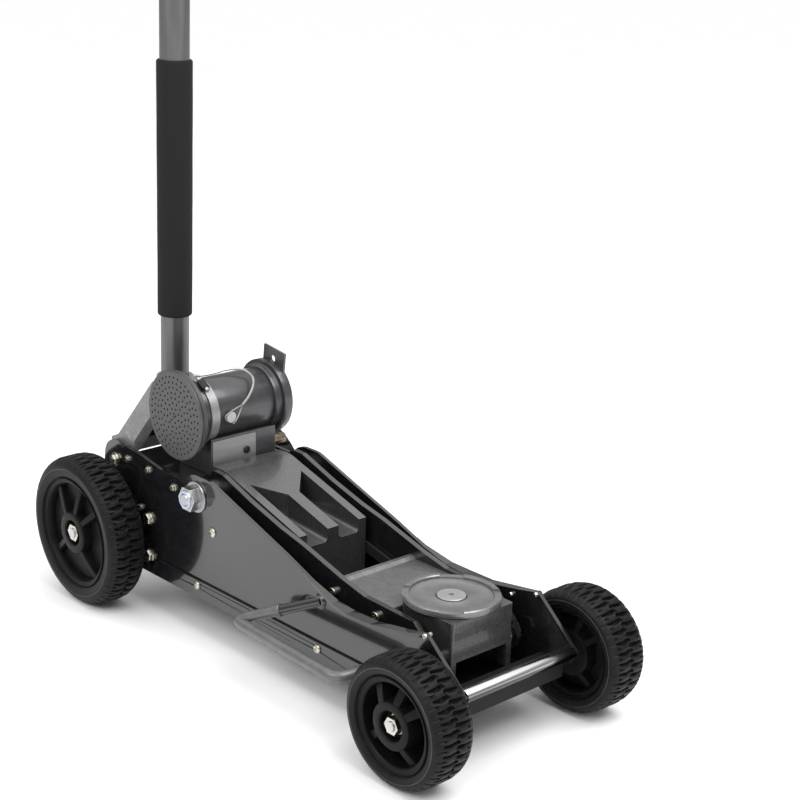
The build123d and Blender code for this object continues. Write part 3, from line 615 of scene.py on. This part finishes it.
small_bolts = [(37, 247), (96, 244), (166, 233), (70, 172)]
mount_bolts = [(94, 159), (93, 94)]
shape, cutter = Shape(), Shape()
for point in small_bolts:
    socket_screw(shape, cutter, point, PLATE_FACE, 5.0, 5.0, 4.6)
for point in mount_bolts:
    hex_head(shape, point, PLATE_FACE, 17, 8, 11)
shape.mirrored()
cutter.mirrored()
bolts = carve(shape.build("frame_bolt_heads", "zinc"), cutter.build("cutter", "zinc"))
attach(bolts, "frame")
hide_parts("frame_hex_bolts")

shape, cutter = Shape(), Shape()
for point, stand, r in [((268, 187), 0, 8), ((230, 86), 4, 7), ((526, 85), 4, 7)]:
    y = PLATE_FACE - stand
    dome = [(r, y), (r, y - 1.2)] + [(r * cos(a), y - 1.2 - 3.3 * sin(a))
                                     for a in np.linspace(0.15, 1.3, 7)]
    shape.lathe(dome, point, 32)
    cutter.hexagon(point, r * 0.62, y - 2.2, y - 7)
shape.mirrored()
cutter.mirrored()
buttons = carve(shape.build("button_bolt_heads", "zinc"), cutter.build("cutter", "zinc"))
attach(buttons, "frame")
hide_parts("button_bolts")

shape, cutter = Shape(), Shape()
for point in [(526, 167), (618, 161)]:
    y = -85.0
    shape.lathe([(7.5, y), (7.5, y - 5.4), (6.9, y - 6.0)], point, 32)
    shape.lathe([(4, y + 0.1), (4, y + 15)], point, 20)
    cutter.hexagon(point, 6, y - 2.4, y - 8)
shape.mirrored()
cutter.mirrored()
deck_screws = carve(shape.build("deck_screws", "zinc"), cutter.build("cutter", "zinc"))
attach(deck_screws, "arm")
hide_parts("arm_deck_bolts")

shape = Shape()
pivot = node_middle("yoke_pivot_bolts")
hex_head(shape, (pivot.x, pivot.z), PLATE_FACE, 15, 8, 11.5)
shape.lathe([(8, PLATE_FACE + 0.1), (8, -92)], (pivot.x, pivot.z), 32)
shape.lathe([(13, -106.7), (13, -102.3)], (pivot.x, pivot.z), 32)
piece(shape.mirrored(), "yoke_pivots", "zinc", "frame", "zinc", ["yoke_pivot_bolts"])

shape = Shape()
pivot = node_middle("saddle_pin")
SPACER_BORE, SPACER_R = 10.2, 20.5
SPACER_INNER, SPACER_OUTER = 60.3, 68.6      # between the saddle block and the levelling rod
shape.lathe([(SPACER_BORE, SPACER_INNER), (SPACER_R, SPACER_INNER), (SPACER_R, SPACER_OUTER),
             (SPACER_BORE, SPACER_OUTER)], (pivot.x, pivot.z), 40, loop=True)
piece(shape, "saddle_spacer", "zinc", "arm", "zinc")

main_pivot = node_middle("main_shaft")
shape = Shape()
shape.lathe([(10.2, -134.6), (14.0, -134.6), (14.6, -135.3), (14.2, -137.2), (10.6, -137.2)],
            (main_pivot.x, main_pivot.z), 48, loop=True)
piece(shape.mirrored(), "nylon_rings", "nylon", "frame", "zinc")

shape = Shape()
shape.lathe([(1.5, -137.9), (8.2, -137.9), (9.6, -136.6), (9.6, -130), (1.5, -130)],
            (main_pivot.x, main_pivot.z), 40)
piece(shape.mirrored(), "main_shaft_ends", "steel", "frame", "steel")

shape, cutter = Shape(), Shape()
corner = (742, 184)
shape.lathe([(3.8, PLATE_FACE), (3.8, PLATE_FACE - 1.4), (3.0, PLATE_FACE - 2.6)], corner, 24)
cutter.hexagon(corner, 2.8, PLATE_FACE - 1.2, PLATE_FACE - 6)
INNER_NUT_FLATS = 5.6
INNER_NUT_END, PLATE_INNER_FACE = -101.5, -106.6
for point in [corner, (696, 169), (806, 122)]:
    shape.hexagon(point, INNER_NUT_FLATS, INNER_NUT_END, PLATE_INNER_FACE, turn=0.4)
shape.mirrored()
cutter.mirrored()
corner_screws = carve(shape.build("corner_screws", "zinc"), cutter.build("cutter", "zinc"))
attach(corner_screws, "frame")


# ---- ram cover ----
COVER_HALF = 67.0
lo, hi = node_box("ram_cover")
front = hi.x
crest = rounded_path([(206, 0, 262), (210, 0, 271), (238, 0, 271.5), (front, 0, 216)], 30, 6)
outline = [(p.x, min(p.z, hi.z)) for p in crest]
outline += [(front, 127), (front - 8, 127), (front - 8, 180), (206, 180)]
cover = Shape().prism(outline, -COVER_HALF, COVER_HALF).build("ram_cover_casting", "cover_grey")
hollow = Shape().prism([(199, 100), (front - 8, 100), (front - 8, 187), (304, 191),
                        (302, 203.6), (199, 203.6)],
                       -COVER_HALF + 6, COVER_HALF - 6)
carve(cover, hollow.build("cutter", "cover_grey"))
SLOT_OUT, SLOT_IN, SLOT_START, SLOT_FULL = -52.0, -11.0, 285.0, 330.0


def slot_section(x):
    """Cross-section of a cover slot with rounded floor corners, open at the top."""
    reach = min(1.0, (x - SLOT_START) / (SLOT_FULL - SLOT_START))
    y0, y1 = SLOT_OUT, SLOT_OUT + max(0.6, reach * (SLOT_IN - SLOT_OUT))
    floor_z = 195.5 + (front - x) * 0.093
    r = min(7.0, (y1 - y0) * 0.45)
    arc = [pi / 2 * i / 4 for i in range(5)]
    ring = [(x, y0, 300)]
    ring += [(x, y0 + r - r * cos(a), floor_z + r - r * sin(a)) for a in arc]
    ring += [(x, y1 - r + r * sin(a), floor_z + r - r * cos(a)) for a in arc]
    return ring + [(x, y1, 300)]


for sign in (1, -1):
    rings = [slot_section(x) for x in (285.5, 292, 300, 310, 320, 330, 360, 400, 440)]
    rings = [[(x, y * sign, z) for x, y, z in ring] for ring in rings]
    carve(cover, Shape().skin(rings).build("cutter", "cover_grey"))
round_edges(cover, 2.2, 3, 28)
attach(cover, "frame")
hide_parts("ram_cover")


# ---- carry handles ----
root_near = (527, -111.0, 160)
corner_rear, corner_front, root_front = (398, -170, 101), (640, -180, 101), (648, -111.0, 104)
loop_path = rounded_path([root_near, corner_rear, corner_front, root_front], 20)


def share(path, begin, end):
    """The points of a path between two shares of its length, with exact ends."""
    points = [Vector(p) for p in path]
    steps = [(b - a).length for a, b in zip(points, points[1:])]
    total, run = sum(steps), 0.0
    out = []

    def point_at(d):
        gone = 0.0
        for a, b, step in zip(points, points[1:], steps):
            if gone + step >= d:
                return a.lerp(b, (d - gone) / step)
            gone += step
        return points[-1]

    out.append(point_at(begin * total))
    for p, step in zip(points[1:], steps):
        run += step
        if begin * total < run < end * total:
            out.append(p)
    out.append(point_at(end * total))
    return out


bare = share(loop_path, 0.0, 0.17)
grey = share(loop_path, 0.16, 1.0)
shape = Shape().tube(bare, 8.0, 24)
piece(shape.mirrored(), "carry_rod_bare", "gloss_black", "frame", "gloss_black",
      ["carry_handles"])
shape = Shape().tube(grey, 8.6, 24)
first = (Vector(grey[1]) - Vector(grey[0])).normalized()
collar = [Vector(grey[0]) - first * 1.0 + first * d for d in (0, 1.0, 9.0, 10.5)]
shape.tube(collar, [9.0, 9.9, 9.9, 8.8], 24)
piece(shape.mirrored(), "carry_rod_sleeve", "sleeve_plastic", "frame", "sleeve_plastic",
      ["carry_sleeves"])
shape = Shape()
for p in (root_near, root_front):
    shape.lathe([(12.5, PLATE_FACE - 0.1), (12.0, PLATE_FACE - 1.2), (9.0, PLATE_FACE - 3.5)],
                (p[0], p[2]), 28)
piece(shape.mirrored(), "carry_weld_beads", "gloss_black", "frame", "gloss_black")


# ---- air motor ----
lo, hi = node_box("motor_intake_cap")
cap_middle, cap_r = ((lo.x + hi.x) / 2, (lo.z + hi.z) / 2), (hi.z - lo.z) / 2
y = lo.y
shape = Shape().lathe([(51.0, y + 14), (cap_r - 2.5, y + 14), (cap_r - 1.5, y + 13),
                       (cap_r - 1.5, y + 7.5), (cap_r - 2.5, y + 6.5), (cap_r - 6.0, y + 6.5),
                       (cap_r - 6.0, y + 4.5), (cap_r - 0.8, y + 4.5), (cap_r, y + 3.7),
                       (cap_r, y + 1.0), (cap_r - 1.4, y), (1.0, y)], cap_middle, 96)
cutter = Shape()
for k in range(8):
    r = 8.4 * k + 3.2
    count = max(3, round(tau * r / 10.6))
    for i in range(count):
        a = tau * i / count + k * 0.37
        p = (cap_middle[0] + r * cos(a), cap_middle[1] + r * sin(a))
        cutter.lathe([(1.9, y + 3.4), (1.9, y - 2)], p, 10)
cap = carve(shape.build("intake_grille", "cap_grey"), cutter.build("cutter", "cap_grey"))
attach(cap, "frame")
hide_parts("motor_intake_cap")

band_lo, band_hi = node_box("motor_clamp_band")
axis = (node_middle("motor_cylinder").x, node_middle("motor_cylinder").z)
y0, y1 = band_lo.y + 9, band_hi.y
shape = Shape().lathe([(50.1, y0), (52.6, y0), (53.0, y0 + 0.6), (53.0, y1 - 0.6),
                       (52.6, y1), (50.1, y1)], axis, 96, loop=True)
piece(shape, "clamp_band", "band_steel", "frame", "steel", ["motor_clamp_band"], bevel=0.5)
# worm housing on the band's upper front quarter, with its hexagon screw
lean = radians(61)
radial, along = Vector((cos(lean), 0, sin(lean))), Vector((sin(lean), 0, -cos(lean)))
seat = Vector((axis[0], (y0 + y1) / 2 - 4.5, axis[1])) + radial * 55.5


def bar_across_band(shape, start, end, half_y, half_r, sides=8):
    """A rounded bar lying along the band."""
    rings = []
    for d in (start, end):
        rings.append([seat + along * d + Vector((0, 1, 0)) * half_y * cos(a) + radial * half_r * sin(a)
                      for a in (tau * (i + 0.5) / sides for i in range(sides))])
    return shape.skin(rings)


piece(bar_across_band(Shape(), -11, 7, 7.5, 4.6), "clamp_worm_housing", "dark_grey", "frame",
      "steel", bevel=0.5)
shape = bar_across_band(Shape(), 7, 12, 4.6, 4.0, 6)
piece(bar_across_band(shape, -17, -11, 3.6, 3.2), "clamp_worm_screw", "zinc", "frame", "zinc",
      bevel=0.4)

shape = Shape()
shape.lathe([(50.3, -88), (55.0, -88), (55.5, -86.5), (55.5, -81.5), (54.5, -80.5),
             (50.3, -80.5)], axis, 96, loop=True)
shape.lathe([(49.8, 60), (53.4, 60.5), (54.0, 62), (54.0, 68), (55.5, 70), (55.5, 73.2),
             (49.8, 73.2)], axis, 96, loop=True)
piece(shape, "motor_end_rings", "motor_grey", "frame", "motor_grey", bevel=0.5)

shape = Shape()
shape.box(199.9, 201.6, -60, 26, 253, 306)
piece(shape, "motor_name_plate_blank", "band_steel", "frame", "steel", bevel=0.4)
shape, cutter = Shape(), Shape()
turn = [tau * i / 20 for i in range(20)]
screw = [[(x, 7 + r * cos(a), 281 + r * sin(a)) for a in turn]
         for x, r in [(201.5, 6.2), (203.6, 6.0), (204.8, 4.6)]]
shape.skin(screw)
cutter.box(203.0, 207, 5.7, 8.3, 272, 290)
base_screw = carve(shape.build("base_screw", "dark_grey"), cutter.build("cutter", "dark_grey"))
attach(base_screw, "frame")


# ---- lanyard ----
def smooth_path(points, steps=8):
    """A Catmull-Rom curve through the points."""
    p = [Vector(q) for q in points]
    p = [p[0] * 2 - p[1]] + p + [p[-1] * 2 - p[-2]]
    out = []
    for a, b, c, d in zip(p, p[1:], p[2:], p[3:]):
        for i in range(steps):
            t = i / steps
            out.append(0.5 * ((2 * b) + (c - a) * t + (2 * a - 5 * b + 4 * c - d) * t ** 2
                              + (3 * b - a - 3 * c + d) * t ** 3))
    return out + [p[-2]]


disc_at = Vector((212, -31, 345))
shape = Shape()
rings = [[(disc_at.x + x, disc_at.y + r * cos(a), disc_at.z + r * sin(a))
          for a in [tau * i / 32 for i in range(32)]]
         for x, r in [(-1.6, 8.6), (-1.2, 9.2), (0.9, 9.2), (1.5, 8.4)]]
shape.skin(rings)
shape.tube(smooth_path([(211, -8, 361), (214, -24, 358), (214.5, -41, 352), (213.5, -44, 346),
                        (213.5, -40, 340)]), 1.0, 8)
shape.tube(smooth_path([(211, -8, 361), (214, -16, 350), (214.5, -24, 338), (213.5, -29, 334)]),
           1.0, 8)
piece(shape, "lanyard_pin", "wire_steel", "frame", "steel", ["lanyard"])
shape = Shape().tube(smooth_path([(211, -8, 361), (207, 8, 371), (202, 20, 383),
                                  (194, 27, 393), (183, 28, 399), (170, 21, 405),
                                  (158, 2, 405), (156, -20, 403), (152, -44, 402),
                                  (150, -58, 404)]), 2.1, 8)
piece(shape, "lanyard_cord", "wire_steel", "frame", "steel")


# ---- handle sleeve and grip ----
TILT = radians(2.4)
FOOT = Vector((14, 0, 300))
UP = Vector((sin(TILT), 0, cos(TILT)))
ACROSS_UP = Vector((cos(TILT), 0, -sin(TILT)))


def on_handle(shape, profile, segments=64, lumps=0.0):
    """Turns (radius, distance from the foot) points about the handle's axis."""
    rings = []
    for r, d in profile:
        ring = []
        for i in range(segments):
            a = tau * i / segments
            bulge = 1 + lumps * sin(3 * a + d * 0.02) * sin(d * 0.031)
            ring.append(FOOT + UP * d + (ACROSS_UP * cos(a) + Vector((0, 1, 0)) * sin(a)) * r * bulge)
        rings.append(ring)
    return shape.skin(rings, loop=True)


def soft_ends(inner, outer, d0, d1, curl, steps=40):
    profile = [(inner, d0 + 1.5)]
    profile += [(outer - curl + curl * sin(a), d0 + curl - curl * cos(a))
                for a in np.linspace(0, pi / 2, 7)]
    profile += [(outer, d) for d in np.linspace(d0 + curl, d1 - curl, steps)[1:-1]]
    profile += [(outer - curl + curl * cos(a), d1 - curl + curl * sin(a))
                for a in np.linspace(0, pi / 2, 7)]
    return profile + [(inner, d1 - 1.5)]


piece(on_handle(Shape(), soft_ends(23.7, 28.5, 170, 573, 4.0), lumps=0.006),
      "foam_sleeve", "foam", "handle", "foam", ["handle_sleeve"])
grip = soft_ends(23.7, 26.2, 745, 884, 3.0, 60)
grip = [(r + (0.8 * max(0.0, sin(d * 0.7)) ** 2 if 760 < d < 870 and r > 25 else 0), d)
        for r, d in grip]
piece(on_handle(Shape(), grip), "ribbed_grip", "foam", "handle", "foam", ["handle_grip"])
shape = Shape()
shape.skin([[FOOT + UP * d + (ACROSS_UP * cos(a) + Vector((0, 1, 0)) * sin(a)) * r
             for a in [tau * i / 40 for i in range(40)]]
            for d, r in [(876, 20.5), (880, 23.4), (883.6, 23.4), (884.0, 21)]])
piece(shape, "grip_end_cap", "sleeve_plastic", "handle", "sleeve_plastic")


# ---- yoke panel ----
shape = Shape()
NOTCH, NOTCH_FOOT = 17.5, 298     # clears the handle tube, whose foot is at z 299
panel = [(-60, 262), (60, 262), (25, 327), (NOTCH, 327), (NOTCH, NOTCH_FOOT),
         (-NOTCH, NOTCH_FOOT), (-NOTCH, 327), (-25, 327)]
front = [[(x, y, z) for y, z in panel] for x in (-4.2, -2.8)]
shape.skin(front)
piece(shape, "yoke_panel", "dark_panel", "yoke", "gloss_black", bevel=0.4)


# ---- saddle ----
lo, hi = node_box("saddle")
pad, pad_r, top = ((lo.x + hi.x) / 2, (lo.y + hi.y) / 2), (hi.x - lo.x) / 2, hi.z
seat_z = node_box("saddle_block")[1].z + 0.2
shape = Shape().upright([(20, seat_z), (pad_r - 3, seat_z), (pad_r - 1.2, seat_z + 1.0),
                         (pad_r - 1.2, seat_z + 3.4), (pad_r, seat_z + 4.2),
                         (pad_r, top - 1.6), (pad_r - 1.6, top), (62.0, top), (60.6, top - 1.2),
                         (60.0, top - 5.4), (58.6, top - 6.2), (23.5, top - 6.2),
                         (22.5, top - 5.8), (22.5, seat_z + 1)], pad, 128)
shape.upright([(15, lo.z), (15, seat_z + 1)], pad, 48)
shape = shape.build("saddle_pad", "saddle_grey")
for turn in range(45, 360, 90):
    c, s = cos(radians(turn)), sin(radians(turn))
    cutter = Shape()
    corners = [(55, -17), (80, -17), (80, 17), (55, 17)]
    rings = [[(pad[0] + u * c - v * s, pad[1] + u * s + v * c, z) for u, v in corners]
             for z in (top - 3.0, top + 5)]
    carve(shape, cutter.skin(rings).build("cutter", "saddle_grey"))
round_edges(shape, 0.7, 2, 30)
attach(shape, "saddle")
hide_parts("saddle")

shape, cutter = Shape(), Shape()
shape.upright([(10, top - 8), (21, top - 7.5), (21, top - 4.4), (20, top - 3.6), (6, top - 3.4)],
              pad, 64)
cutter.upright([(4.4, top - 6.4), (4.4, top + 4)], pad, 6)
button = carve(shape.build("saddle_button", "button_grey"), cutter.build("cutter", "button_grey"))
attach(button, "saddle")
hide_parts("saddle_cap")


# ---- return springs ----
lo, hi = node_box("return_springs")
coil_r, wire_r, turns = 5.8, 1.2, 34
shape = Shape()
spring_y, spring_z = 39.0, 103.0
x0, x1 = lo.x + 1.5, hi.x - 6.0
helix = []
steps = turns * 14
for i in range(steps + 1):
    a = tau * turns * i / steps
    helix.append((x0 + (x1 - x0) * i / steps, -spring_y + coil_r * cos(a),
                  spring_z + coil_r * sin(a)))
shape.tube(helix, wire_r, 6)
shape.tube(rounded_path([helix[-1], (x1 + 3, -spring_y, spring_z + 4),
                         (x1 + 4, -spring_y, hi.z)], 3), wire_r, 8)
springs = shape.mirrored().build("coil_springs", "steel")
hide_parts("return_springs")
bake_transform(springs)


# ---- stage, light and camera ----
floor_mesh = bpy.data.meshes.new("floor")
reach = 30
floor_mesh.from_pydata([(-reach, -reach, 0), (reach, -reach, 0), (reach, reach, 0),
                        (-reach, reach, 0)], [], [(0, 1, 2, 3)])
floor = bpy.data.objects.new("floor", floor_mesh)
bpy.context.scene.collection.objects.link(floor)
floor_mesh.materials.append(finish("floor_white", (0.93, 0.93, 0.93), 0.9, specular=0.1,
                                   mottle=0.01, mottle_size=3))

world = bpy.data.worlds.new("studio")
bpy.context.scene.world = world
world.use_nodes = True
tree = world.node_tree
background = tree.nodes["Background"]
place = node_of(tree, "ShaderNodeTexCoord")
split = node_of(tree, "ShaderNodeSeparateXYZ")
tree.links.new(place.outputs["Generated"], split.inputs["Vector"])
ramp = node_of(tree, "ShaderNodeValToRGB")
tree.links.new(split.outputs["Z"], ramp.inputs["Fac"])
stops = [(0.0, 0.55), (0.22, 0.30), (0.45, 0.45), (0.62, 1.25), (1.0, 1.5)]
ramp.color_ramp.elements[0].position, ramp.color_ramp.elements[1].position = 0.0, 1.0
for at, level in stops[1:-1]:
    ramp.color_ramp.elements.new(at)
for element, (at, level) in zip(ramp.color_ramp.elements, stops):
    element.position = at
    element.color = (level, level, level, 1)
seen = node_of(tree, "ShaderNodeLightPath")
mix = node_of(tree, "ShaderNodeMixShader")
plain = node_of(tree, "ShaderNodeBackground", Color=(1, 1, 1, 1), Strength=1.0)
tree.links.new(ramp.outputs["Color"], background.inputs["Color"])
tree.links.new(seen.outputs["Is Camera Ray"], mix.inputs["Fac"])
tree.links.new(background.outputs["Background"], mix.inputs[1])
tree.links.new(plain.outputs["Background"], mix.inputs[2])
tree.links.new(mix.outputs["Shader"], tree.nodes["World Output"].inputs["Surface"])


def soft_light(name, power, size, position, target):
    lamp = bpy.data.lights.new(name, "AREA")
    lamp.shape = "RECTANGLE"
    lamp.size, lamp.size_y = size
    lamp.energy = power
    o = bpy.data.objects.new(name, lamp)
    o.location = position
    aim = Vector(target) - Vector(position)
    o.rotation_euler = aim.to_track_quat("-Z", "Y").to_euler()
    bpy.context.scene.collection.objects.link(o)


soft_light("key", 60, (2.4, 1.6), (1.6, 0.4, 2.8), (0, 0, 0.2))
soft_light("near_fill", 40, (2.4, 1.6), (0.2, -2.6, 2.4), (0, -0.3, 0.1))

camera = bpy.data.cameras.new("camera")
view = bpy.data.objects.new("camera", camera)
bpy.context.scene.collection.objects.link(view)
CAMERA_PLACE = Vector((2.0545, -1.4271, 1.0639))     # metres from the rear axle's foot
LENS, SENSOR = 68.89, 36
SHIFT_X, SHIFT_Y = 0.1485, 0.1793
FADE = 0.02     # metres; Blender merges keys closer than 0.01
elevation, azimuth = radians(22.0), radians(39.1)
back = Vector((cos(elevation) * cos(azimuth), -cos(elevation) * sin(azimuth), sin(elevation)))
view.location = ORIGIN + CAMERA_PLACE
view.rotation_euler = back.to_track_quat("Z", "Y").to_euler()
camera.sensor_width = SENSOR
camera.lens = LENS


def shift_here(path, amount):
    """The lens shift fades out when the camera leaves this place, so other views are centred."""
    curve = camera.driver_add(path)
    driver = curve.driver
    driver.type = "AVERAGE"
    place = driver.variables.new()
    place.type = "TRANSFORMS"
    place.targets[0].id = view
    place.targets[0].transform_type = "LOC_X"
    for modifier in list(curve.modifiers):
        curve.modifiers.remove(modifier)
    for key in reversed(list(curve.keyframe_points)):
        curve.keyframe_points.remove(key)
    home = view.location.x
    for at, value in ((home - FADE, 0.0), (home, amount), (home + FADE, 0.0)):
        curve.keyframe_points.insert(at, value).interpolation = "LINEAR"
    curve.extrapolation = "CONSTANT"
    curve.update()


shift_here("shift_x", SHIFT_X)
shift_here("shift_y", SHIFT_Y)
bpy.context.scene.camera = view
bpy.context.scene.view_settings.view_transform = "Standard"
